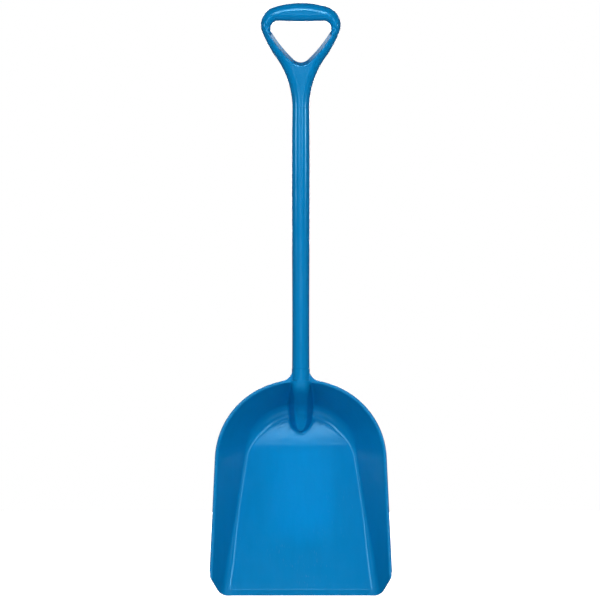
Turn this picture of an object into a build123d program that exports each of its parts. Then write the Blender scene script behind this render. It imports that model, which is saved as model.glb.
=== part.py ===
from build123d import *
import os
from math import atan2, cos, degrees, radians, sin, sqrt, tan

os.makedirs("parts", exist_ok=True)

# Scoop shovel with a D-grip, all polypropylene.
# Frame: the origin is under the middle of the crossbar, where the shovel hangs on a peg.
# +Z runs up the shaft axis, +X to the right, and the scoop opens towards -Y.

# ---------------------------------------------------------------- driving dimensions, mm
CLEAR = 0.05            # gap on a pressed or bonded fit

# shaft: outer radius at the four heights that give its slight barrel shape
SHAFT_TOP_Z = -163.3
SHAFT_FOOT_Z = -655.0
TUBE_FOOT_Z = -709.0    # the foot spigot runs on to here before its end is cut to the slope of the tongue
BARREL = [(16.3, SHAFT_TOP_Z), (17.05, -290.0), (16.2, -500.0), (16.4, SHAFT_FOOT_Z)]
BORE_R = 10.5
SPIGOT_R = 13.4
HEAD_SPIGOT = 58.3
PLUG_R = BORE_R - CLEAR
SEAT_R = SPIGOT_R + CLEAR
SLOPE_GAP = 0.3
FOOT_PLUG_TOP_Z = -625.0
FOOT_PLUG_LENGTH = 90.0
HEAD_PLUG_LENGTH = 45.0
HEAD_FLANGE = 3.0
PLUG_BREAK = 1.0

# D-grip: outlines are chains of tangent arcs, (radius, sweep in degrees), anticlockwise from the neck
GRIP_HALF_DEPTH = 16.2
NECK_R = 16.3
GRIP_ARCS = [(163.7, -35.93), (204.9, 15.33), (35.3, 93.3)]
OPENING_ARCS = [(19.7, 43.5), (251.0, 15.0), (14.2, 124.3)]
OPENING_FOOT_Z = -77.2
OPENING_DRAFT = 24.0    # the wall of the opening leans outwards from the split between the shells
GRIP_EDGE_R = 14.0
CROSSBAR_CORE = (84.0, 18.0)
CROSSBAR_CORE_Z = 17.5
CROSSBAR_CORE_DEPTH = 11.0
DOWEL_R = 2.5
DOWEL_LENGTH = 5.0
DOWEL_SPOTS = [(43.0, -55.0), (-43.0, -55.0), (0.0, -89.0)]

# lock pins, put in from behind along Y
PIN_R = 3.5
PIN_BREAK = 0.6
GRIP_PIN_Z = -128.0
GRIP_PIN_TIP = -15.0
GRIP_PIN_HEAD_R = 6.0
GRIP_PIN_HEAD = 2.6
SOCKET_PIN_Z = -667.0
SOCKET_PIN_TIP = -14.6
SOCKET_PIN_END = 16.0
SOCKET_PIN_DOME = 2.5

# blade: heights are given as drop below the heel of the rim, half-outlines run from the middle of the heel
HEEL_Z = -678.6
RIM_TOP = 4.1           # the arch of the rim stands this far above HEEL_Z
RIM_ARCS = [(175.1, -25.8), (152.0, -61.57)]
RIM_FLARE = 90 - 25.8 - 61.57
CORNER = (171.6, 366.1)
FRONT_CORNER = (150.3, 405.5)
CORNER_R = 28.0
FRONT_CORNER_R = 22.0
RIM_Y = -8.0
RIM_LIFT = 4.2
LIP_WIDTH = 5.7
LIP_THICKNESS = 6.0
LIP_END = 358.0
BLADE_REACH = 150.0
BLADE_SPAN = 360.0      # a little more than the widest part
FLOOR_Y = 98.9
FLOOR_LIFT = 12.2
FLOOR_TOP = 50.4
FLOOR_R = 105.6
FLOOR_FLARE = 8.9
FLOOR_SPLIT = 25.8
WALL = 5.0
WALL_LEAN = 29.0
CREASE_R = 12.0
PAN_RUN_OUT = 440.0
FRONT_EDGE = 1.6        # thickness left at the bevelled front edge
BEVEL_RUN = 12.0
BEVEL_HALF_WIDTH = 130.0

# neck and tongue: the tongue carries on from the shaft and slopes at 45 degrees to the floor of the pan
COLLAR_R = 16.9
COLLAR_FOOT_Z = -697.0
NECK_FILLET_R = 20.7
WEB_DEPTH = 10.0
TONGUE_START = 19.2
TONGUE_HALF_WIDTH = 22.5
TONGUE_BACK_Y = 92.0
TONGUE_DRAFT = 3.5
TONGUE_TOP = 4.0        # the foot of the tongue starts this far below the heel
TONGUE_TIP = 76.0       # centre of its round end
TONGUE_EDGE_R = 10.0
TONGUE_WALL = 3.6
TONGUE_FRONT_WALL = 4.6
COVER_CLEAR = 0.1


def arc_chain(start, tangent, arcs):
    """Draw tangent arcs end to end and return where the last one ends and which way it is heading."""
    for radius, sweep in arcs:
        arc = JernArc(start, tangent, radius, sweep)
        start, tangent = arc @ 1, arc % 1
    return start, tangent


def half_outline(start, tangent, arcs):
    """Draw tangent arcs and a last one that meets the axis of symmetry square on, then mirror them."""
    end, heading = arc_chain(start, tangent, arcs)
    turn = atan2(heading.Y, -heading.X)
    JernArc(end, heading, end.X / sin(abs(turn)), degrees(turn))
    mirror(about=Plane.YZ)


def leaning_plane(y, lift):
    """A plane across the pan, through y at the heel, leaning forwards by lift degrees as it drops."""
    normal = (0, -cos(radians(lift)), sin(radians(lift)))
    return Plane(origin=(0, y, HEEL_Z), x_dir=(1, 0, 0), z_dir=normal)


def lip_ring():
    """The flat lip of the rim, stopped where the side walls start to slope at the front."""
    with BuildSketch(rim_plane) as ring:
        add(blade_outline(Plane.XY))
        add(blade_outline(Plane.XY, LIP_WIDTH), mode=Mode.SUBTRACT)
        with Locations((0, -LIP_END)):
            Rectangle(BLADE_SPAN, LIP_END + RIM_TOP, align=(Align.CENTER, Align.MIN), mode=Mode.INTERSECT)
    return ring.sketch


def pin_plane(y, z):
    """A plane across a lock pin at y, facing forwards."""
    return Plane(origin=(0, y, z), x_dir=(1, 0, 0), z_dir=(0, -1, 0))


def dish_section(plane, top, arcs, flare):
    """A section of the pan: arched heel, flared sides and a straight run-out past the front."""
    with BuildSketch(plane) as section:
        with BuildLine():
            end, _ = arc_chain((0, -top), (1, 0), arcs)
            foot_x = end.X + (PAN_RUN_OUT + end.Y) * tan(radians(flare))
            Line(end, (foot_x, -PAN_RUN_OUT))
            mirror(about=Plane.YZ)
            Line((foot_x, -PAN_RUN_OUT), (-foot_x, -PAN_RUN_OUT))
        make_face()
    return section.sketch


def blade_outline(plane, inset=0.0):
    """The outline of the blade as it is seen from the front."""
    with BuildSketch(plane) as outline:
        with BuildLine():
            end, _ = arc_chain((0, RIM_TOP - inset), (1, 0), [(r - inset, sweep) for r, sweep in RIM_ARCS])
            Polyline(
                end,
                (CORNER[0] - inset, -CORNER[1]),
                (FRONT_CORNER[0] - inset, -FRONT_CORNER[1]),
                (0, -FRONT_CORNER[1]),
            )
            mirror(about=Plane.YZ)
        make_face()
        corners = outline.vertices().sort_by(Axis.Y)
        fillet(corners[0:2], radius=FRONT_CORNER_R)
        fillet(corners[2:4], radius=CORNER_R)
    return outline.sketch


front_plane = Plane(origin=(0, 0, HEEL_Z), x_dir=(1, 0, 0), z_dir=(0, -1, 0))
rim_plane = leaning_plane(RIM_Y, RIM_LIFT)
floor_plane = leaning_plane(FLOOR_Y, FLOOR_LIFT)
back_plane = floor_plane.offset(-WALL)
bevel_edge = floor_plane.from_local_coords((0, -FRONT_CORNER[1] / cos(radians(FLOOR_LIFT)), 0))
bevel_plane = Plane(origin=bevel_edge, x_dir=-floor_plane.y_dir, z_dir=(1, 0, 0))
tongue_plane = Plane(origin=(0, 0, HEEL_Z - TONGUE_START), x_dir=(1, 0, 0), z_dir=(0, 1, 1))
tongue_inner_plane = tongue_plane.offset(TONGUE_FRONT_WALL)
spigot_cut_plane = tongue_plane.offset(TONGUE_FRONT_WALL + SLOPE_GAP)
tongue_axis = Axis(tongue_plane.origin, tongue_plane.z_dir)

# ---------------------------------------------------------------- shaft tube
with BuildPart() as shaft_tube:
    with BuildSketch(Plane.XZ):
        with BuildLine():
            head_z = SHAFT_TOP_Z + HEAD_SPIGOT
            Spline(*BARREL)
            Polyline(
                BARREL[-1],
                (SPIGOT_R, SHAFT_FOOT_Z),
                (SPIGOT_R, TUBE_FOOT_Z),
                (BORE_R, TUBE_FOOT_Z),
                (BORE_R, head_z),
                (SPIGOT_R, head_z),
                (SPIGOT_R, SHAFT_TOP_Z),
                BARREL[0],
            )
        make_face()
    revolve(axis=Axis.Z)
    split(bisect_by=spigot_cut_plane, keep=Keep.TOP)
    for z in (GRIP_PIN_Z, SOCKET_PIN_Z):
        with BuildSketch(Plane.XZ):
            with Locations((0, z)):
                Circle(PIN_R + CLEAR)
        extrude(amount=2 * COLLAR_R, both=True, mode=Mode.SUBTRACT)

# ---------------------------------------------------------------- plugs in the tube
with BuildPart() as shaft_foot_plug:
    with BuildSketch(Plane.XY.offset(FOOT_PLUG_TOP_Z)):
        Circle(PLUG_R)
    extrude(amount=-FOOT_PLUG_LENGTH)
    split(bisect_by=spigot_cut_plane, keep=Keep.TOP)
    chamfer(shaft_foot_plug.edges().sort_by(Axis.Z)[-1], PLUG_BREAK)
    with BuildSketch(Plane.XZ):
        with Locations((0, SOCKET_PIN_Z)):
            Circle(PIN_R + CLEAR)
    extrude(amount=2 * COLLAR_R, both=True, mode=Mode.SUBTRACT)

with BuildPart() as shaft_head_plug:
    with BuildSketch(Plane.XY.offset(SHAFT_TOP_Z + HEAD_SPIGOT)):
        Circle(PLUG_R)
    extrude(amount=-HEAD_PLUG_LENGTH)
    chamfer(shaft_head_plug.edges().sort_by(Axis.Z)[0], PLUG_BREAK)
    with BuildSketch(Plane.XY.offset(SHAFT_TOP_Z + HEAD_SPIGOT)):
        Circle(SPIGOT_R)
    extrude(amount=HEAD_FLANGE)
    with BuildSketch(Plane.XZ):
        with Locations((0, GRIP_PIN_Z)):
            Circle(PIN_R + CLEAR)
    extrude(amount=2 * COLLAR_R, both=True, mode=Mode.SUBTRACT)

# ---------------------------------------------------------------- pan of the blade
with BuildPart() as cavity:
    rim_section = dish_section(
        rim_plane, LIP_WIDTH - RIM_TOP, [(r - LIP_WIDTH, sweep) for r, sweep in RIM_ARCS], RIM_FLARE
    )
    floor_section = dish_section(
        floor_plane, FLOOR_TOP, [(FLOOR_R, -FLOOR_SPLIT), (FLOOR_R, FLOOR_SPLIT + FLOOR_FLARE - 90)], FLOOR_FLARE
    )
    loft([rim_section, floor_section], ruled=True)
    fillet(cavity.faces().sort_by(Axis.Y)[-1].edges().sort_by(Axis.Z)[1:], radius=CREASE_R)

with BuildPart() as filled_dish:
    side_wall = WALL / cos(radians(WALL_LEAN))
    rest = LIP_WIDTH - side_wall
    back_r = FLOOR_R + side_wall - WALL * tan(radians(WALL_LEAN))
    rim_section = dish_section(rim_plane, rest - RIM_TOP, [(r - rest, sweep) for r, sweep in RIM_ARCS], RIM_FLARE)
    back_section = dish_section(
        back_plane, FLOOR_TOP + FLOOR_R - back_r,
        [(back_r, -FLOOR_SPLIT), (back_r, FLOOR_SPLIT + FLOOR_FLARE - 90)], FLOOR_FLARE,
    )
    loft([rim_section, back_section], ruled=True)
    fillet(filled_dish.faces().sort_by(Axis.Y)[-1].edges().sort_by(Axis.Z)[1:], radius=CREASE_R + WALL)

with BuildPart() as dish_shell:
    add(filled_dish.part)
    add(cavity.part, mode=Mode.SUBTRACT)


def tongue_footprint(shrink):
    """The foot of the tongue behind the floor, with shrink taken off each side."""
    half_width = TONGUE_HALF_WIDTH - shrink
    top = max(0.0, TONGUE_TOP + shrink - TONGUE_WALL)
    with BuildSketch(front_plane.offset(-TONGUE_BACK_Y)) as footprint:
        with Locations((0, -TONGUE_TIP)):
            Circle(half_width)
        with Locations((0, -(TONGUE_TIP + top) / 2)):
            Rectangle(2 * half_width, TONGUE_TIP - top)
    return footprint.sketch


with BuildPart() as tongue:
    extrude(tongue_footprint(0.0), amount=TONGUE_BACK_Y + COLLAR_R, taper=TONGUE_DRAFT)
    split(bisect_by=tongue_plane, keep=Keep.TOP)
    slope = tongue.faces().filter_by(tongue_axis)[0]
    fillet(slope.edges().sort_by(Axis.Z)[:-1], radius=TONGUE_EDGE_R)
    add(filled_dish.part, mode=Mode.INTERSECT)

# the hollow behind the tongue, open to the back of the pan
with BuildPart() as tunnel:
    extrude(tongue_footprint(TONGUE_WALL), amount=TONGUE_BACK_Y + COLLAR_R, taper=TONGUE_DRAFT)
    split(bisect_by=tongue_inner_plane, keep=Keep.TOP)

with BuildPart() as collar:
    with BuildSketch(Plane.XY.offset(SHAFT_FOOT_Z)):
        Circle(COLLAR_R)
    extrude(amount=COLLAR_FOOT_Z - SHAFT_FOOT_Z)
    split(bisect_by=tongue_plane, keep=Keep.TOP)

# web between the collar and the arch of the rim, with a round fillet on each side
arch_r = RIM_ARCS[0][0]
arch_centre = (0, RIM_TOP - arch_r)
fillet_x = COLLAR_R + NECK_FILLET_R
fillet_y = arch_centre[1] + sqrt((arch_r + NECK_FILLET_R) ** 2 - fillet_x**2)
with BuildPart() as web:
    with BuildSketch(front_plane.offset(-RIM_Y)):
        with Locations((0, fillet_y - 2 * NECK_FILLET_R)):
            Rectangle(2 * fillet_x * arch_r / (arch_r + NECK_FILLET_R), 4 * NECK_FILLET_R)
        with Locations((fillet_x, fillet_y), (-fillet_x, fillet_y)):
            Circle(NECK_FILLET_R, mode=Mode.SUBTRACT)
        with Locations(arch_centre):
            Circle(arch_r - LIP_WIDTH, mode=Mode.SUBTRACT)
    extrude(amount=-WEB_DEPTH)

with BuildPart() as seat:
    with BuildSketch(Plane.XY.offset(SHAFT_FOOT_Z)):
        Circle(SEAT_R)
    extrude(amount=COLLAR_FOOT_Z - SHAFT_FOOT_Z)
    split(bisect_by=tongue_inner_plane, keep=Keep.TOP)

with BuildPart() as blade_pan:
    add(dish_shell.part)
    extrude(lip_ring(), amount=-LIP_THICKNESS)
    extrude(blade_outline(front_plane.offset(BLADE_REACH)), amount=-2 * BLADE_REACH, mode=Mode.INTERSECT)
    with BuildSketch(bevel_plane):
        with BuildLine():
            bevel_slope = (WALL - FRONT_EDGE) / BEVEL_RUN
            Polyline((-BEVEL_RUN, 0), (BEVEL_RUN, 2 * BEVEL_RUN * bevel_slope), (BEVEL_RUN, 0), close=True)
        make_face()
    extrude(amount=BEVEL_HALF_WIDTH, both=True, mode=Mode.SUBTRACT)
    add(web.part)
    add(collar.part)
    add(tongue.part)
    add(tunnel.part, mode=Mode.SUBTRACT)
    add(seat.part, mode=Mode.SUBTRACT)
    with BuildSketch(pin_plane(COLLAR_R, SOCKET_PIN_Z)):
        Circle(PIN_R + CLEAR)
    extrude(amount=COLLAR_R - SOCKET_PIN_TIP + CLEAR, mode=Mode.SUBTRACT)

# ---------------------------------------------------------------- cover behind the tongue
with BuildPart() as socket_cover:
    extrude(tongue_footprint(TONGUE_WALL + COVER_CLEAR), amount=TONGUE_BACK_Y + COLLAR_R, taper=TONGUE_DRAFT)
    split(bisect_by=tongue_inner_plane.offset(COVER_CLEAR), keep=Keep.TOP)
    add(dish_shell.part, mode=Mode.INTERSECT)
    with BuildSketch(Plane.XY.offset(SHAFT_FOOT_Z)):
        Circle(SPIGOT_R + COVER_CLEAR)
    extrude(amount=TUBE_FOOT_Z - SHAFT_FOOT_Z, mode=Mode.SUBTRACT)

# ---------------------------------------------------------------- D-grip, then its two shells
with BuildPart() as grip:
    with BuildSketch(Plane.XZ):
        with BuildLine():
            half_outline((NECK_R, SHAFT_TOP_Z), (0, 1), GRIP_ARCS)
            Line((NECK_R, SHAFT_TOP_Z), (-NECK_R, SHAFT_TOP_Z))
        make_face()
    extrude(amount=GRIP_HALF_DEPTH, both=True)
    for face in grip.faces().filter_by(Axis.Y):
        fillet(face.edges().sort_by(Axis.Z)[1:], radius=GRIP_EDGE_R)
    with BuildSketch(Plane.XZ) as opening:
        with BuildLine():
            half_outline((0, OPENING_FOOT_Z), (1, 0), OPENING_ARCS)
        make_face()
    for way in (1, -1):
        extrude(opening.sketch, amount=way * 2 * GRIP_HALF_DEPTH, taper=-OPENING_DRAFT, mode=Mode.SUBTRACT)
    with BuildSketch(Plane.XY.offset(SHAFT_TOP_Z)):
        Circle(SEAT_R)
    extrude(amount=HEAD_SPIGOT + HEAD_FLANGE + CLEAR, mode=Mode.SUBTRACT)
    with BuildSketch(Plane.XZ):
        with Locations((0, CROSSBAR_CORE_Z)):
            SlotOverall(*CROSSBAR_CORE)
    extrude(amount=CROSSBAR_CORE_DEPTH, both=True, mode=Mode.SUBTRACT)
    with BuildSketch(pin_plane(GRIP_HALF_DEPTH, GRIP_PIN_Z)):
        Circle(PIN_R + CLEAR)
    extrude(amount=GRIP_HALF_DEPTH - GRIP_PIN_TIP + CLEAR, mode=Mode.SUBTRACT)
    with BuildSketch(pin_plane(GRIP_HALF_DEPTH, GRIP_PIN_Z)):
        Circle(GRIP_PIN_HEAD_R + CLEAR)
    extrude(amount=GRIP_PIN_HEAD + CLEAR, mode=Mode.SUBTRACT)

with BuildPart() as grip_front_shell:
    add(grip.part)
    split(bisect_by=Plane.XZ, keep=Keep.TOP)
    with BuildSketch(Plane.XZ):
        with Locations(DOWEL_SPOTS):
            Circle(DOWEL_R)
    extrude(amount=-DOWEL_LENGTH)

with BuildPart() as grip_rear_shell:
    add(grip.part)
    split(bisect_by=Plane.XZ, keep=Keep.BOTTOM)
    with BuildSketch(Plane.XZ):
        with Locations(DOWEL_SPOTS):
            Circle(DOWEL_R + CLEAR)
    extrude(amount=-DOWEL_LENGTH - CLEAR, mode=Mode.SUBTRACT)

# ---------------------------------------------------------------- lock pins
with BuildPart() as grip_lock_pin:
    with BuildSketch(pin_plane(GRIP_HALF_DEPTH, GRIP_PIN_Z)):
        Circle(GRIP_PIN_HEAD_R)
    extrude(amount=GRIP_PIN_HEAD)
    with BuildSketch(pin_plane(GRIP_HALF_DEPTH - GRIP_PIN_HEAD, GRIP_PIN_Z)):
        Circle(PIN_R)
    extrude(amount=GRIP_HALF_DEPTH - GRIP_PIN_HEAD - GRIP_PIN_TIP)
    chamfer(grip_lock_pin.edges().sort_by(Axis.Y)[0], PIN_BREAK)

with BuildPart() as socket_lock_pin:
    with BuildSketch(pin_plane(SOCKET_PIN_END, SOCKET_PIN_Z)):
        Circle(PIN_R)
    extrude(amount=SOCKET_PIN_END - SOCKET_PIN_TIP)
    fillet(socket_lock_pin.edges().sort_by(Axis.Y)[-1], SOCKET_PIN_DOME)
    chamfer(socket_lock_pin.edges().sort_by(Axis.Y)[0], PIN_BREAK)

# ---------------------------------------------------------------- one file for each piece
pieces = {
    "blade_pan": blade_pan,
    "socket_cover": socket_cover,
    "shaft_tube": shaft_tube,
    "shaft_foot_plug": shaft_foot_plug,
    "shaft_head_plug": shaft_head_plug,
    "grip_front_shell": grip_front_shell,
    "grip_rear_shell": grip_rear_shell,
    "grip_lock_pin": grip_lock_pin,
    "socket_lock_pin": socket_lock_pin,
}
for name, piece in pieces.items():
    piece.part.label = name
    export_step(piece.part, f"parts/{name}.step")
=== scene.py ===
from math import atan2, cos, degrees, pi, radians, sin, tan

import bmesh
import bpy
import numpy as np
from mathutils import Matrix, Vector


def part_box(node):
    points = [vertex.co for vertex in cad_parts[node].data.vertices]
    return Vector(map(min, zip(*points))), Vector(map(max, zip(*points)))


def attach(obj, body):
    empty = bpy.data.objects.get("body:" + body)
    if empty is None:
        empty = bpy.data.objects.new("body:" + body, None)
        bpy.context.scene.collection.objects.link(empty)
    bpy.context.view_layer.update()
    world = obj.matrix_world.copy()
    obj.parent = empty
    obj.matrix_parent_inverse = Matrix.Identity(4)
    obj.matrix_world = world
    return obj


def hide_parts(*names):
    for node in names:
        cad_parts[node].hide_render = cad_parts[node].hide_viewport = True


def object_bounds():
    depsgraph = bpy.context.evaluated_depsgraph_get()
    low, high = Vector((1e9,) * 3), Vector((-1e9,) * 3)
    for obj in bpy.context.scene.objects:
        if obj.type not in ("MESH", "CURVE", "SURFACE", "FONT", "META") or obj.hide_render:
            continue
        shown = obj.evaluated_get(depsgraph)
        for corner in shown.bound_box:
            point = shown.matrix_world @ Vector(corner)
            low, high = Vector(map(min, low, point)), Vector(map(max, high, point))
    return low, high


# Scoop shovel with a D-grip, moulded in blue polypropylene.
# Shapes are worked out in millimetres: x to the right, y away from the open side of the scoop, and
# either z up or, on the blade, drop, which is how far a point lies below the heel of the rim.
# A shape is a distance field, below zero inside the plastic, and a net is drawn over its zero surface.

MM = 0.001

# blade
BLADE_LENGTH = 405.5    # from the heel to the front edge
RIM_TOP = 4.1           # the arch of the rim stands this far above the heel
RIM_ARCS = [(175.1, 25.8), (152.0, 61.57)]
CORNER = (171.6, 366.1)
FRONT_CORNER = (150.3, 405.5)
CORNER_R = 28.0
FRONT_CORNER_R = 22.0
RIM_Y = -8.0
RIM_LIFT = 4.2
LIP_WIDTH = 5.7
LIP_THICKNESS = 6.0
LIP_END = 358.0
FLOOR_Y = 98.9
FLOOR_LIFT = 12.2
FOLD_DROP = 121.0       # above this soft fold the floor leans further back
FOLD_LIFT = 19.5
FOLD_BLEND = 9.0
FLOOR_TOP = 50.4
FLOOR_R = 105.6
FLOOR_FLARE = 8.9
WALL = 5.0
HEEL_CREASE_R = 28.0
HEEL_CREASE_FADE = (88, 142)    # drops over which a radius changes to the next
SIDE_CREASE_R = 9.0
FRONT_CREASE_R = 20.0
FRONT_CREASE_FADE = (230, 370)
FRONT_EDGE = 1.6
BEVEL_RUN = 12.0
BEVEL_HALF_WIDTH = 140.0        # where the bevel has faded out
EDGE_R = 1.2
LIP_EDGE_R = 2.6
LIP_EDGE_FADE = 20

# neck and tongue
COLLAR_R = 16.9
COLLAR_TOP = -23.6
COLLAR_FOOT = -1.0
COLLAR_BLEND_R = 3      # between the socket and the back of the heel, full from the second of these depths
COLLAR_BLEND_FADE = (2, 10)
SHARP_R = 0.05
NECK_FILLET_R = 22.5
WEB_HALF_WIDTH = 15.4
WEB_REACH = 38.0
WEB_DEPTH = 10.0
TRIM = 6.0              # spare length that a cut takes off
RIDGE_START = -2.0
RIDGE_RUNS = [(30.0, 60.0), 40.0, (50.0, -33.0), 90.0]     # (radius, turn) or a straight run
TONGUE_HALF_WIDTH = 21.7        # at its foot
TONGUE_HEIGHT = 38.0
CREST_HALF_WIDTH = 11.0         # where the crest is narrowest
CREST_R = 8.5
CREST_END = 35          # the crest stops narrowing here
TONGUE_NOSE = 70.0
NOSE_LENGTHS = (26.0, 29.0)     # at the crest and at the foot
TONGUE_FOOT_R = 3.2
BORE_R = 13.5
BORE_END = -2.0
COVER_TOP = 10.0
COVER_HALF_WIDTH = 18.8
COVER_NOSE = 76.0
COVER_THICKNESS = 4.0
COVER_GAP = 0.25
COVER_EDGE_R = 0.8
PIN_R = 3.5
SOCKET_PIN_DROP = -11.6

# grip
GRIP_DEPTH = 16.2
NECK_FOOT = (16.3, -163.3)
GRIP_ARCS = [(163.7, -35.93), (204.9, 15.33), (35.3, 93.3)]
OPENING_FOOT = -77.2
OPENING_ARCS = [(19.7, 43.5), (251.0, 15.0), (14.2, 124.3)]
OPENING_DRAFT = 24.0
OPENING_EDGE_R = 2.5
CROSSBAR_EDGE_R = 13.0
CROSSBAR_Z = -14.0
GRIP_PIN_Z = -128.0
GRIP_PIN_HEAD_R = 6.0
GRIP_PIN_HEAD = 2.6

# shaft: outer radius at four heights
BARREL = [(16.3, -163.3), (17.05, -290.0), (16.2, -500.0), (16.4, -655.0)]
SPIGOT_R = 13.4
SPIGOT = 18.0
END_BREAK = 0.4

# studio
VIEW_HEIGHT = 1.1316
CAMERA_DISTANCE = 10.0
CAMERA_SIDE = -0.0015
CAMERA_RISE = -0.001
DIFFUSE = {"glossy": False}
GLOSS = {"diffuse": False}
POOL = {"glossy": False, "spread": radians(7)}
GRIP_ONLY = {"diffuse": False, "spread": radians(24)}
LIGHTS = [              # name, place, aim, width and height, watts
    ("fill", (0, -5.0, -0.5), (0, 0, -0.5), (2.0, 1.6), 135, DIFFUSE),
    ("key", (0, -3.0, 2.0), (0, 0, -0.6), (2.0, 0.8), 50, DIFFUSE),
    ("low", (0, -1.2, -1.03), (0, 0, -0.72), (1.6, 0.6), 3, DIFFUSE),
    ("west", (-3.5, -2.6, -0.5), (0, 0, -0.6), (1.2, 1.6), 18, DIFFUSE),
    ("east", (3.5, -2.6, -0.5), (0, 0, -0.6), (1.2, 1.6), 18, DIFFUSE),
    ("back", (0, 5.0, 0.6), (0, 0, -0.6), (2.5, 2.0), 130, {}),
    ("strip", (0, -3.0, 1.9), (0, 0, -0.6), (3.0, 0.4), 50, GLOSS),
    ("glow", (0, -0.45, -1.0), (0, 0, -0.74), (0.8, 0.3), 0.5, GLOSS),
    ("left", (-1.1, -3.0, 0.2), (0, 0, -0.9), (0.6, 0.7), 9, GLOSS),
    ("right", (1.1, -3.0, 0.2), (0, 0, -0.9), (0.6, 0.7), 9, GLOSS),
    ("left wing", (-2.9, -1.35, 0.0), (0, 0, -0.9), (0.5, 0.4), 12, GLOSS),
    ("right wing", (2.9, -1.35, 0.0), (0, 0, -0.9), (0.5, 0.4), 12, GLOSS),
    ("grip strip", (0, -3.0, 1.12), (0, 0, 0.0), (2.0, 0.2), 1.1, GRIP_ONLY),
    ("left bevel", (-0.9, 1.0, 0.6), (0, 0, -0.05), (1.1, 1.0), 0.13, GRIP_ONLY),
    ("right bevel", (0.9, 1.0, 0.6), (0, 0, -0.05), (1.1, 1.0), 0.13, GRIP_ONLY),
    ("pool", (0, -0.6, -0.885), (0, 0, -0.885), (0.12, 0.18), 0.013, POOL),
]
AROUND_FRONT = 0.05
AROUND_GLOSS = 0.12
AROUND_BACK = 0.4
AROUND_TURN = (-0.1, 0.45)      # between front and back, as the y of a direction
FLOOR_REACH = 4.0
FLOOR_GAP = 0.002
FLOOR_GLOW = 0.93

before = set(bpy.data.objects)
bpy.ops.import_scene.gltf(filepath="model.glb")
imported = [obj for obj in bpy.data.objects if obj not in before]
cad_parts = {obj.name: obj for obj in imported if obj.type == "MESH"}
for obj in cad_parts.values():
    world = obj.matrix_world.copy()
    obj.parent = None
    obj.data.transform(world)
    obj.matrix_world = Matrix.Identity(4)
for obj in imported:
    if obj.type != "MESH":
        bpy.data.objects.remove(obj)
cad_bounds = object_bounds()
blade_low, blade_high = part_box("blade_pan")
HEEL_Z = blade_low.z / MM + BLADE_LENGTH
RIM_SLOPE = tan(radians(RIM_LIFT))
FLOOR_SLOPE = tan(radians(FLOOR_LIFT))
FOLD_SLOPE = tan(radians(FOLD_LIFT)) - FLOOR_SLOPE


# ---------------------------------------------------------------- distance fields
class Chain:
    """Lines and arcs drawn end to end in a plane. Distances to it are positive on its left."""

    def __init__(self, start, heading):
        self.end = np.array(start, float)
        self.heading = radians(heading)
        self.parts = []

    def ahead(self):
        return np.array([cos(self.heading), sin(self.heading)])

    def line(self, length):
        self.parts.append(("line", self.end, self.ahead(), length))
        self.end = self.end + length * self.ahead()
        return self

    def arc(self, radius, turn):
        side = 1 if turn > 0 else -1
        left = np.array([-sin(self.heading), cos(self.heading)])
        centre = self.end + side * radius * left
        middle = self.heading - side * pi / 2 + radians(turn) / 2
        self.parts.append(("arc", centre, radius, side, middle, abs(radians(turn)) / 2))
        self.heading += radians(turn)
        self.end = centre + side * radius * np.array([sin(self.heading), -cos(self.heading)])
        return self

    def runs(self, runs):
        for run in runs:
            if isinstance(run, tuple):
                self.arc(*run)
            else:
                self.line(run)
        return self

    def close_on_axis(self):
        """A last arc that meets the line x = 0 square on."""
        turn = pi - self.heading
        return self.arc(self.end[0] / abs(sin(turn)), degrees(turn))

    def bend(self, corner, radius, towards):
        """A straight run to a rounded corner, which turns towards the next point."""
        run = float(np.dot(np.subtract(corner, self.end), self.ahead()))
        turned = self.end + run * self.ahead()
        way = np.subtract(towards, turned)
        turn = (atan2(way[1], way[0]) - self.heading + pi) % (2 * pi) - pi
        self.line(run - radius * tan(abs(turn) / 2))
        return self.arc(radius, degrees(turn))

    def walk(self):
        """Points along the chain."""
        points = []
        for kind, start, *rest in self.parts:
            if kind == "line":
                way, length = rest
                points += [start, start + length * way]
            else:
                radius, side, middle, half = rest
                turns = middle + side * np.linspace(-half, half, 33)
                points += [start + radius * np.array([cos(turn), sin(turn)]) for turn in turns]
        return np.array(points)

    def distance(self, a, b):
        """Distance on the left, and the slope of that distance along b."""
        best = np.full(np.broadcast(a, b).shape, 1e9)
        slope = np.zeros_like(best)
        slack = 1e-6
        for kind, start, *rest in self.parts:
            da, db = a - start[0], b - start[1]
            if kind == "line":
                way, length = rest
                along = da * way[0] + db * way[1]
                gap = db * way[0] - da * way[1]
                lean = way[0] + 0 * gap
                reached = (along >= -slack) & (along <= length + slack)
            else:
                radius, side, middle, half = rest
                out = np.hypot(da, db) + 1e-12
                gap = side * (radius - out)
                lean = -side * db / out
                off = np.arctan2(db, da) - middle
                reached = np.abs((off + pi) % (2 * pi) - pi) <= half + slack
            nearer = reached & (np.abs(gap) < np.abs(best))
            best = np.where(nearer, gap, best)
            slope = np.where(nearer, lean, slope)
        return best, slope


def round_max(a, b, radius, cosine=0.0):
    """The larger of two distances with a round edge. cosine is that of the angle between their normals."""
    da, db = a + radius, b + radius
    on_arc = (da > cosine * db) & (db > cosine * da)
    reach = np.sqrt(np.maximum(da * da + db * db - 2 * da * db * cosine, 0) / (1 - cosine * cosine))
    return np.where(on_arc, reach - radius, np.maximum(a, b))


def round_min(a, b, radius, cosine=0.0):
    """The smaller of two distances with a round corner."""
    return -round_max(-a, -b, radius, cosine)


def ramp(value, start, end):
    """From 0 at start to 1 at end, level at both."""
    t = np.clip((value - start) / (end - start), 0, 1)
    return t * t * (3 - 2 * t)


# ---------------------------------------------------------------- the blade's field
def rim_chain():
    return Chain((0, -RIM_TOP), 0).runs(RIM_ARCS)


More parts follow.
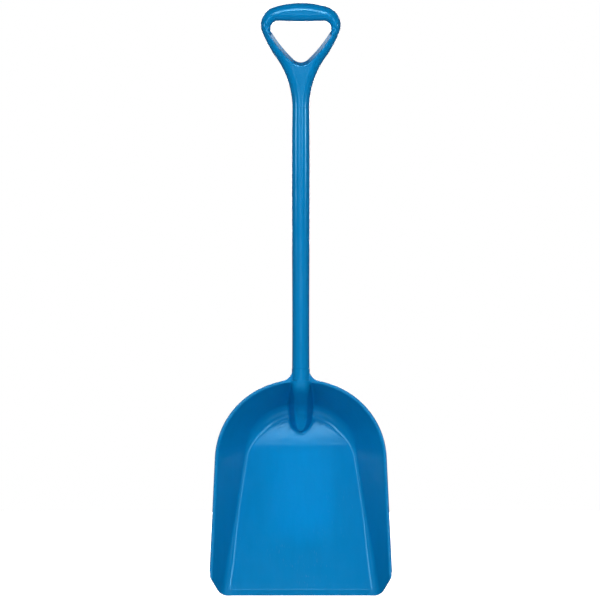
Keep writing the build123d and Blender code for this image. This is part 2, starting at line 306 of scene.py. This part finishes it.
def blade_outline():
    outline = rim_chain()
    outline.bend(CORNER, CORNER_R, FRONT_CORNER)
    outline.bend(FRONT_CORNER, FRONT_CORNER_R, (0, FRONT_CORNER[1]))
    return outline.line(2 * FRONT_CORNER[0])


RIM = rim_chain().line(3 * BLADE_LENGTH)
OUTLINE = blade_outline()
FLOOR = Chain((0, FLOOR_TOP), 0).arc(FLOOR_R, 90 - FLOOR_FLARE).line(3 * BLADE_LENGTH)
RIDGE = Chain((-3 * COLLAR_R, -COLLAR_R), 0).line(3 * COLLAR_R + RIDGE_START).runs(RIDGE_RUNS)
CREST = RIDGE.walk()


def rim_y(drop):
    return RIM_Y - RIM_SLOPE * drop


def floor_y(drop):
    above = FOLD_DROP - drop
    fold = FOLD_SLOPE * (above + np.sqrt(above * above + FOLD_BLEND * FOLD_BLEND)) / 2
    return FLOOR_Y - FLOOR_SLOPE * drop + fold


def cavity(x, drop, y):
    """Distances into the hollow of the pan, above zero inside: without and with the bevel at the front."""
    rim, _ = RIM.distance(x, drop)
    floor, floor_lean = FLOOR.distance(x, drop)
    rim = LIP_WIDTH - rim
    depth = floor_y(drop) - rim_y(drop)
    share = (y - rim_y(drop)) / depth
    lean = (-floor - rim) / depth
    steep = np.sqrt(1 + lean * lean)
    side = ((1 - share) * -rim + share * floor) / steep
    bottom = (floor_y(drop) - y) * cos(radians(FLOOR_LIFT))
    bevel = (WALL - FRONT_EDGE) / BEVEL_RUN * np.maximum(drop - BLADE_LENGTH + BEVEL_RUN, 0)
    bevel = bevel * (1 - ramp(x, BEVEL_HALF_WIDTH - BEVEL_RUN, BEVEL_HALF_WIDTH))
    cosine = (lean * cos(radians(FLOOR_LIFT)) - floor_lean * sin(radians(FLOOR_LIFT))) / steep
    crease = SIDE_CREASE_R + (HEEL_CREASE_R - SIDE_CREASE_R) * (1 - ramp(drop, *HEEL_CREASE_FADE))
    crease = crease + (FRONT_CREASE_R - SIDE_CREASE_R) * ramp(drop, *FRONT_CREASE_FADE)
    cosine = np.clip(cosine, 0, 0.9)
    return round_min(side, bottom, crease, cosine), round_min(side, bottom + bevel, crease, cosine)


def tongue(x, drop, y):
    """The hump that carries the shaft down to the floor of the pan. Its crest narrows as it drops."""
    ridge, ridge_lean = RIDGE.distance(drop, y)
    share = ramp(drop, RIDGE_START, CREST_END)
    crest = COLLAR_R + (CREST_HALF_WIDTH - COLLAR_R) * share
    crest_y = np.interp(drop, *CREST.T)
    height = np.clip(floor_y(drop) - crest_y, 5, TONGUE_HEIGHT)
    depth = np.clip((y - crest_y) / height, -0.3, 1.3)
    flare = (TONGUE_HALF_WIDTH - crest) / height
    half_width = crest + (TONGUE_HALF_WIDTH - crest) * depth
    length = NOSE_LENGTHS[0] + (NOSE_LENGTHS[1] - NOSE_LENGTHS[0]) * depth
    across, past = x / half_width, np.maximum(drop - TONGUE_NOSE, 0) / length
    out = np.hypot(across, past) + 1e-9
    steep = np.hypot(across, past * half_width / length) / out
    long = np.sqrt(1 + flare * flare)
    side = (out - 1) * half_width / long / np.maximum(steep, 0.3)
    nose = np.sqrt(np.maximum(1 - ridge_lean * ridge_lean, 0)) * past / out
    cosine = (flare / np.maximum(ridge_lean, 0.4) + nose) / long
    edge = COLLAR_R + (CREST_R - COLLAR_R) * share
    return round_max(-ridge, side, edge, np.clip(cosine, 0, 0.9)), -ridge


def collar(x, drop, y):
    """The round socket above the tongue, and the web that joins it to the arch of the rim."""
    stem = np.maximum(np.hypot(x, y) - COLLAR_R, COLLAR_TOP - TRIM - drop)
    stem = np.maximum(stem, drop - COLLAR_FOOT)
    arch, arch_lean = OUTLINE.distance(x, drop)
    cosine = np.sqrt(np.maximum(1 - arch_lean * arch_lean, 0))
    web = round_min(x - WEB_HALF_WIDTH, -arch, NECK_FILLET_R, np.clip(cosine, 0, 0.9))
    web = np.maximum(np.maximum(web, arch - LIP_WIDTH), np.maximum(x - WEB_REACH, COLLAR_TOP + 1 - drop))
    thick = WEB_DEPTH - (WEB_DEPTH - LIP_THICKNESS) * ramp(x, COLLAR_R, WEB_REACH)
    slab = np.maximum(rim_y(drop) - y, y - rim_y(drop) - thick)
    return stem, round_max(web, slab, EDGE_R)


def blade(x, drop, y):
    x = np.abs(x)
    hollow, bevelled = cavity(x, drop, y)
    hump, ridge = tongue(x, drop, y)
    stem, web = collar(x, drop, y)
    stem_foot = np.minimum(stem, np.maximum(hump, RIDGE_START - drop))
    front = round_max(bevelled, (rim_y(drop) - y) * cos(radians(RIM_LIFT)), LIP_EDGE_R)
    front = round_min(front, stem_foot, TONGUE_FOOT_R)
    lip_back = np.maximum(y - rim_y(drop) - LIP_THICKNESS, drop - LIP_END)
    back = round_min(-hollow - WALL, lip_back, 2 * EDGE_R)
    body = round_max(front, back, EDGE_R)
    outline, _ = OUTLINE.distance(x, drop)
    lip = 1 - ramp(drop, LIP_END - LIP_EDGE_FADE, LIP_END)
    body = round_max(body, -outline, EDGE_R + (LIP_EDGE_R - EDGE_R) * lip)
    blend = SHARP_R + COLLAR_BLEND_R * ramp(y, *COLLAR_BLEND_FADE)
    body = round_min(body, np.minimum(stem, np.maximum(web, hollow)), blend)
    recess = np.maximum(cover_plan(x, drop, 0), hollow + WALL - COVER_THICKNESS)
    body = np.maximum(body, -recess)
    bore = np.maximum(np.maximum(np.hypot(x, y) - BORE_R, drop - BORE_END), ridge + COLLAR_R - BORE_R)
    body = np.maximum(body, -bore)
    pin_hole = np.maximum(np.hypot(x, drop - SOCKET_PIN_DROP) - PIN_R - COVER_GAP / 2, -y)
    return np.maximum(body, -pin_hole)


def cover_plan(x, drop, gap):
    """The outline of the plate behind the tongue, with gap taken off all round."""
    half_width = COVER_HALF_WIDTH
    low, high = COVER_TOP + half_width / 2, COVER_NOSE
    top = np.hypot(np.maximum(np.abs(x) - half_width / 2, 0), np.minimum(drop - low, 0)) - half_width / 2
    plan = np.where(drop < low, top, np.hypot(x, np.maximum(drop - high, 0)) - half_width)
    return plan + gap


def cover(x, drop, y):
    hollow, _ = cavity(np.abs(x), drop, y)
    plate = round_max(-hollow - WALL, cover_plan(x, drop, COVER_GAP), COVER_EDGE_R)
    return np.maximum(plate, hollow + WALL - COVER_THICKNESS + COVER_GAP)


# ---------------------------------------------------------------- the grip's field
GRIP = Chain((NECK_FOOT[0], NECK_FOOT[1] - 60), 90).line(60).runs(GRIP_ARCS).close_on_axis()
OPENING = Chain((0, OPENING_FOOT), 0).runs(OPENING_ARCS).close_on_axis()


def grip(x, y, z):
    x = np.abs(x)
    outer, _ = GRIP.distance(x, z)
    hole, _ = OPENING.distance(x, z)
    body = round_max(-outer, np.abs(y) - GRIP_DEPTH, GRIP_DEPTH)
    body = np.maximum(body, NECK_FOOT[1] - TRIM - z)
    soft = ramp(z, 2 * CROSSBAR_Z, CROSSBAR_Z)
    draft = radians(OPENING_DRAFT) * (1 - soft)
    wall = hole * np.cos(draft) + np.abs(y) * np.sin(draft)
    edge = OPENING_EDGE_R + (CROSSBAR_EDGE_R - OPENING_EDGE_R) * soft
    body = round_max(body, wall, edge, np.sin(draft))
    pin = np.hypot(x, z - GRIP_PIN_Z) - GRIP_PIN_HEAD_R - COVER_GAP / 2
    return np.maximum(body, -np.maximum(pin, GRIP_DEPTH - GRIP_PIN_HEAD - y))


# ---------------------------------------------------------------- meshes
def net(axes, field):
    """Vertices, in grid axes, and quads of the zero surface of a sampled field."""
    cells = np.array(field.shape) - 1
    owners, points, rings = [], [], []
    for axis in range(3):
        low = [slice(None)] * 3
        high = [slice(None)] * 3
        low[axis], high[axis] = slice(None, -1), slice(1, None)
        before, after = field[tuple(low)], field[tuple(high)]
        edge = np.argwhere((before < 0) != (after < 0))
        at = tuple(edge.T)
        share = before[at] / (before[at] - after[at])
        point = np.stack([axes[k][edge[:, k]] for k in range(3)], 1)
        point[:, axis] += share * (axes[axis][edge[:, axis] + 1] - point[:, axis])
        ring = []
        for step_u, step_w in ((-1, -1), (0, -1), (0, 0), (-1, 0)):
            cell = edge.copy()
            cell[:, (axis + 1) % 3] += step_u
            cell[:, (axis + 2) % 3] += step_w
            ring.append(np.ravel_multi_index(cell.T, cells))
        ring = np.stack(ring, 1)
        rings.append(np.where((before[at] < 0)[:, None], ring, ring[:, ::-1]))
        owners.append(ring.ravel())
        points.append(np.repeat(point, 4, axis=0))
    owner, points = np.concatenate(owners), np.concatenate(points)
    ids, vertex = np.unique(owner, return_inverse=True)
    count = np.bincount(vertex)
    verts = np.stack([np.bincount(vertex, points[:, k]) / count for k in range(3)], 1)
    return verts, np.searchsorted(ids, np.concatenate(rings))


def gradient(shape, points):
    step = 0.05
    columns = []
    for axis in range(3):
        ahead, behind = points.copy(), points.copy()
        ahead[:, axis] += step
        behind[:, axis] -= step
        columns.append((shape(*ahead.T) - shape(*behind.T)) / (2 * step))
    return np.stack(columns, 1)


def settle(shape, points, limit):
    """Moves points onto the zero surface of shape."""
    for _ in range(4):
        slope = gradient(shape, points)
        steep = np.maximum((slope * slope).sum(1), 0.05)
        move = -shape(*points.T) / steep
        points = points + np.clip(move, -limit, limit)[:, None] * slope
    return points


def sharpness(shape, points, normals):
    """How strongly the surface bulges, from 0 on a flat to 1 on a tight outer edge."""
    reach = 1.5
    side = np.cross(normals, (0.31, 0.54, 0.78))
    side /= np.linalg.norm(side, axis=1)[:, None]
    other = np.cross(normals, side)
    rise = sum(shape(*(points + way * reach).T) for way in (side, -side, other, -other))
    return np.clip(rise / reach, 0, 1)


def spans(*stops):
    """Grid lines, from pairs of a coordinate and the spacing up to the next one."""
    lines = [np.array([stops[0][0]])]
    for (start, spacing), (end, _) in zip(stops, stops[1:]):
        count = max(1, round((end - start) / spacing))
        lines.append(np.linspace(start, end, count + 1)[1:])
    return np.concatenate(lines)


def mirrored(lines):
    return np.concatenate([-lines[:0:-1], lines])


def mesh_object(name, points, faces, normals=None, wear=None):
    """A mesh object from points in metres."""
    mesh = bpy.data.meshes.new(name)
    mesh.from_pydata(points.tolist(), [], faces.tolist())
    if wear is not None:
        layer = mesh.attributes.new("wear", "FLOAT", "POINT")
        layer.data.foreach_set("value", wear.astype(np.float32))
    mesh.update()
    mesh.shade_smooth()
    if normals is not None:
        mesh.normals_split_custom_set_from_vertices(normals.tolist())
    piece = bpy.data.objects.new(name, mesh)
    bpy.context.scene.collection.objects.link(piece)
    return piece


def blade_space(shape, name, xs, drops, depths, limit):
    """A piece of the blade: the grid leans with the floor, and its third axis is measured from it."""
    x, drop, depth = xs[:, None, None], drops[None, :, None], depths[None, None, :]
    points, faces = net((xs, drops, depths), shape(x, drop, depth + floor_y(drop)))
    points[:, 2] += floor_y(points[:, 1])
    points = settle(shape, points, limit)
    normals = gradient(shape, points)
    normals /= np.maximum(np.linalg.norm(normals, axis=1), 1e-6)[:, None]
    wear = sharpness(shape, points, normals)
    turn = np.array([[1, 0, 0], [0, 0, -1], [0, 1, 0]])
    return mesh_object(name, (points @ turn + (0, 0, HEEL_Z)) * MM, faces, normals @ turn, wear)


def trim(piece, point, normal):
    """Cuts a piece with a plane, drops the side that the normal points to and closes the cut."""
    mesh = bmesh.new()
    mesh.from_mesh(piece.data)
    parts = mesh.verts[:] + mesh.edges[:] + mesh.faces[:]
    cut = bmesh.ops.bisect_plane(mesh, geom=parts, plane_co=point, plane_no=normal, clear_outer=True)
    edges = [e for e in cut["geom_cut"] if isinstance(e, bmesh.types.BMEdge)]
    filled = bmesh.ops.triangle_fill(mesh, edges=edges, use_beauty=True, use_dissolve=False, normal=normal)
    for face in filled["geom"]:
        if isinstance(face, bmesh.types.BMFace):
            face.smooth = False
    mesh.to_mesh(piece.data)
    mesh.free()


def make_blade():
    xs = mirrored(spans((0, 1.25), (40, 2.1), (178, 1)))
    drops = spans((-36, 1.25), (112, 2.1), (388, 1.2), (410, 1))
    depths = spans((-150, 1.6), (-8, 1.0), (9, 1))
    piece = blade_space(blade, "scoop_blade", xs, drops, depths, 0.7)
    trim(piece, (0, 0, (HEEL_Z - COLLAR_TOP) * MM), (0, 0, 1))
    return piece


def make_cover():
    xs = mirrored(spans((0, 1.0), (25, 1)))
    drops = spans((4, 1.0), (104, 1))
    depths = spans((-124, 1.2), (-10, 0.8), (9, 1))
    return blade_space(cover, "socket_cover_plate", xs, drops, depths, 0.5)


def make_grip_shells():
    xs = mirrored(spans((0, 1.25), (80, 1)))
    ys = mirrored(spans((0, 1.2), (19, 1)))
    zs = spans((-172, 1.25), (38, 1))
    points, faces = net((xs, ys, zs), grip(xs[:, None, None], ys[None, :, None], zs[None, None, :]))
    points = settle(grip, points, 0.6)
    normals = gradient(grip, points)
    normals /= np.maximum(np.linalg.norm(normals, axis=1), 1e-6)[:, None]
    wear = sharpness(grip, points, normals)
    shells = []
    for name, side in (("grip_front", 1), ("grip_rear", -1)):
        shell = mesh_object(name, points * MM, faces, None, wear)
        trim(shell, (0, 0, (NECK_FOOT[1] + 0.05) * MM), (0, 0, -1))
        trim(shell, (0, -side * 0.08 * MM, 0), (0, side, 0))
        shells.append(shell)
    return shells


def make_shaft():
    """The barrel-shaped tube with a turned-down spigot at each end."""
    radii, heights = np.array(BARREL).T
    shape = np.polyfit(heights, radii, 3)
    rows = spans((heights[-1] + END_BREAK, 4.0), (heights[0] - END_BREAK, 1))
    profile = [(0, heights[-1] - SPIGOT), (SPIGOT_R, heights[-1] - SPIGOT), (SPIGOT_R, heights[-1])]
    profile += [(radii[-1] - END_BREAK, heights[-1])]
    profile += [(float(np.polyval(shape, z)), z) for z in rows]
    profile += [(radii[0] - END_BREAK, heights[0]), (SPIGOT_R, heights[0]), (SPIGOT_R, heights[0] + SPIGOT)]
    profile += [(0, heights[0] + SPIGOT)]
    mesh = bmesh.new()
    verts = [mesh.verts.new((r * MM, 0, z * MM)) for r, z in profile]
    edges = [mesh.edges.new(pair) for pair in zip(verts, verts[1:])]
    bmesh.ops.spin(mesh, geom=verts + edges, axis=(0, 0, 1), cent=(0, 0, 0), steps=96, angle=2 * pi)
    bmesh.ops.remove_doubles(mesh, verts=mesh.verts, dist=0.00001)
    bmesh.ops.recalc_face_normals(mesh, faces=mesh.faces)
    data = bpy.data.meshes.new("shaft")
    mesh.to_mesh(data)
    mesh.free()
    data.shade_smooth()
    data.set_sharp_from_angle(angle=radians(40))
    piece = bpy.data.objects.new("shaft", data)
    bpy.context.scene.collection.objects.link(piece)
    return piece


# ---------------------------------------------------------------- materials
class Nodes:
    """Short calls for the node tree of one material."""

    def __init__(self, name):
        self.material = bpy.data.materials.new(name)
        self.material.use_nodes = True
        self.tree = self.material.node_tree
        self.shader = self.tree.nodes["Principled BSDF"]
        self.place = self.add("ShaderNodeTexCoord").outputs["Object"]

    def add(self, kind, inputs=None, **settings):
        node = self.tree.nodes.new(kind)
        for key, value in settings.items():
            setattr(node, key, value)
        for key, value in (inputs or {}).items():
            if isinstance(value, bpy.types.NodeSocket):
                self.tree.links.new(value, node.inputs[key])
            else:
                node.inputs[key].default_value = value
        return node

    def noise(self, scale, stretch=(1, 1, 1), detail=3.0, offset=(0, 0, 0)):
        at = self.add("ShaderNodeMapping", {"Vector": self.place, "Scale": stretch, "Location": offset})
        spread = {"Vector": at.outputs["Vector"], "Scale": scale, "Detail": detail}
        return self.add("ShaderNodeTexNoise", spread).outputs["Fac"]

    def math(self, operation, a, b=0.0):
        return self.add("ShaderNodeMath", {0: a, 1: b}, operation=operation).outputs[0]

    def remap(self, value, low, high, to_low=0.0, to_high=1.0):
        given = {"Value": value, "From Min": low, "From Max": high, "To Min": to_low, "To Max": to_high}
        return self.add("ShaderNodeMapRange", given).outputs["Result"]

    def mix(self, share, a, b):
        node = self.add("ShaderNodeMix", {"Factor": share}, data_type="RGBA")
        for socket, value in ((node.inputs[6], a), (node.inputs[7], b)):
            if isinstance(value, bpy.types.NodeSocket):
                self.tree.links.new(value, socket)
            else:
                socket.default_value = value
        return node.outputs[2]


def plastic(name, base, roughness, scuffs):
    """Satin moulded polypropylene: flow shades, fine grain, scuffs and paler rubbed edges."""
    n = Nodes(name)
    dark = [0.86 * c for c in base[:3]] + [1]
    pale = [c + 0.10 * (1 - c) for c in base[:3]] + [1]
    cloud = n.noise(9.0, detail=2.0)
    flow = n.noise(14.0, stretch=(6, 6, 0.6), detail=4.0, offset=(3, 1, 2))
    shade = n.remap(n.math("ADD", cloud, flow), 0.7, 1.3)
    colour = n.mix(n.math("MULTIPLY", shade, 0.5), base, dark)
    lines = n.noise(55.0, stretch=(9, 9, 0.35), detail=5.0, offset=(5, 5, 0))
    where = n.remap(n.noise(7.0, offset=(9, 2, 4)), 0.45, 0.65)
    scratches = n.math("MULTIPLY", n.remap(lines, 0.62, 0.70), where)
    scratches = n.math("MULTIPLY", scratches, scuffs)
    wear = n.add("ShaderNodeAttribute", attribute_name="wear", attribute_type="GEOMETRY").outputs["Fac"]
    rubbed = n.math("MULTIPLY", n.remap(wear, 0.25, 0.9), n.remap(n.noise(160.0, detail=4.0), 0.4, 0.7))
    colour = n.mix(n.math("MULTIPLY", rubbed, 0.5), colour, pale)
    colour = n.mix(n.math("MULTIPLY", scratches, 0.35), colour, pale)
    rough = n.remap(n.noise(30.0, detail=5.0, offset=(1, 7, 3)), 0.3, 0.7, roughness - 0.03, roughness + 0.05)
    rough = n.math("ADD", rough, n.math("MULTIPLY", n.math("MAXIMUM", rubbed, scratches), 0.12))
    grain = {"Height": n.noise(2600.0, detail=2.0), "Strength": 0.08, "Distance": 0.0002}
    grain = n.add("ShaderNodeBump", grain)
    wave = {"Height": n.noise(24.0, detail=1.0), "Strength": 0.25, "Distance": 0.0008}
    wave["Normal"] = grain.outputs["Normal"]
    cut = {"Height": scratches, "Strength": 0.2, "Distance": -0.0001}
    cut["Normal"] = n.add("ShaderNodeBump", wave).outputs["Normal"]
    normal = n.add("ShaderNodeBump", cut).outputs["Normal"]
    n.tree.links.new(colour, n.shader.inputs["Base Color"])
    n.tree.links.new(rough, n.shader.inputs["Roughness"])
    n.tree.links.new(normal, n.shader.inputs["Normal"])
    n.shader.inputs["IOR"].default_value = 1.49
    n.shader.inputs["Specular Tint"].default_value = (0.35, 0.78, 1.0, 1)
    return n.material


def finish_with(piece, material):
    piece.data.materials.clear()
    piece.data.materials.append(material)


# ---------------------------------------------------------------- studio
def softbox(name, place, aim, size, power, glossy=True, diffuse=True, spread=pi):
    """A lamp aimed at a point, hidden from the camera; it may be left out of gloss or of plain light."""
    light = bpy.data.lights.new(name, "AREA")
    light.shape = "RECTANGLE"
    light.size, light.size_y = size
    light.energy = power
    light.spread = spread
    made = bpy.data.objects.new(name, light)
    made.location = place
    made.rotation_euler = (Vector(aim) - Vector(place)).to_track_quat("-Z", "Y").to_euler()
    made.visible_camera = False
    made.visible_glossy = glossy
    made.visible_diffuse = diffuse
    bpy.context.scene.collection.objects.link(made)


def make_world():
    """White where the camera sees past the shovel; for the plastic, pale behind it and dusk in front."""
    world = bpy.data.worlds.new("studio")
    bpy.context.scene.world = world
    world.use_nodes = True
    tree = world.node_tree
    tree.nodes.clear()
    seen = tree.nodes.new("ShaderNodeBackground")
    seen.inputs["Color"].default_value = (1, 1, 1, 1)
    around = tree.nodes.new("ShaderNodeBackground")
    way = tree.nodes.new("ShaderNodeTexCoord")
    split = tree.nodes.new("ShaderNodeSeparateXYZ")
    blend = tree.nodes.new("ShaderNodeMapRange")
    blend.interpolation_type = "SMOOTHSTEP"
    dim = tree.nodes.new("ShaderNodeMix")
    dim.inputs[3].default_value = AROUND_GLOSS
    start, end = AROUND_TURN
    given = {"From Min": start, "From Max": end, "To Min": AROUND_FRONT, "To Max": AROUND_BACK}
    for key, value in given.items():
        blend.inputs[key].default_value = value
    path = tree.nodes.new("ShaderNodeLightPath")
    either = tree.nodes.new("ShaderNodeMixShader")
    out = tree.nodes.new("ShaderNodeOutputWorld")
    tree.links.new(way.outputs["Generated"], split.inputs[0])
    tree.links.new(split.outputs["Y"], blend.inputs["Value"])
    tree.links.new(path.outputs["Is Glossy Ray"], dim.inputs[0])
    tree.links.new(blend.outputs["Result"], dim.inputs[2])
    tree.links.new(dim.outputs[0], around.inputs["Strength"])
    tree.links.new(path.outputs["Is Camera Ray"], either.inputs[0])
    tree.links.new(around.outputs[0], either.inputs[1])
    tree.links.new(seen.outputs[0], either.inputs[2])
    tree.links.new(either.outputs[0], out.inputs["Surface"])


def make_floor(height):
    mesh = bpy.data.meshes.new("floor")
    signs = ((-1, -1), (1, -1), (1, 1), (-1, 1))
    corners = [(x * FLOOR_REACH, y * FLOOR_REACH, height) for x, y in signs]
    mesh.from_pydata(corners, [], [(0, 1, 2, 3)])
    floor = bpy.data.objects.new("floor", mesh)
    bpy.context.scene.collection.objects.link(floor)
    n = Nodes("floor")
    n.shader.inputs["Base Color"].default_value = (0.85, 0.85, 0.85, 1)
    n.shader.inputs["Roughness"].default_value = 0.8
    n.shader.inputs["Emission Color"].default_value = (1, 1, 1, 1)
    n.shader.inputs["Emission Strength"].default_value = FLOOR_GLOW
    finish_with(floor, n.material)
    floor.visible_diffuse = False
    floor.visible_glossy = False


def make_camera(middle):
    data = bpy.data.cameras.new("camera")
    data.sensor_width = 36.0
    data.lens = 36.0 * CAMERA_DISTANCE / VIEW_HEIGHT
    data.clip_end = 100.0
    camera = bpy.data.objects.new("camera", data)
    camera.location = (CAMERA_SIDE, -CAMERA_DISTANCE, middle)
    camera.rotation_euler = (pi / 2, 0, 0)
    bpy.context.scene.collection.objects.link(camera)
    bpy.context.scene.camera = camera


# ---------------------------------------------------------------- the shovel
BLUE = (0.0, 0.215, 0.53, 1)
blade_plastic = plastic("satin_blade", BLUE, 0.14, 1.0)
shaft_plastic = plastic("satin_shaft", BLUE, 0.14, 0.4)
grip_plastic = plastic("satin_grip", BLUE, 0.14, 0.3)
inner_plastic = plastic("dark_inner", (0.05, 0.06, 0.07, 1), 0.4, 0.5)

blade_piece = make_blade()
cover_piece = make_cover()
shaft_piece = make_shaft()
front_piece, rear_piece = make_grip_shells()
for piece, node, material, slot in (
    (blade_piece, "blade_pan", blade_plastic, "blade_plastic"),
    (cover_piece, "socket_cover", blade_plastic, "blade_plastic"),
    (shaft_piece, "shaft_tube", shaft_plastic, "shaft_plastic"),
    (front_piece, "grip_front_shell", grip_plastic, "grip_plastic"),
    (rear_piece, "grip_rear_shell", grip_plastic, "grip_plastic"),
):
    finish_with(piece, material)
    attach(piece, "root")
    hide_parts(node)
for node in ("shaft_foot_plug", "shaft_head_plug"):
    finish_with(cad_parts[node], inner_plastic)
for node in ("grip_lock_pin", "socket_lock_pin"):
    finish_with(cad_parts[node], grip_plastic)

# ---------------------------------------------------------------- stage, light and camera
low, high = cad_bounds
middle = (low[2] + high[2]) / 2
make_world()
make_floor(low[2] - FLOOR_GAP)
make_camera(middle + CAMERA_RISE)
for name, place, aim, size, power, settings in LIGHTS:
    softbox(name, place, aim, size, power, **settings)
bpy.context.scene.view_settings.view_transform = "Standard"
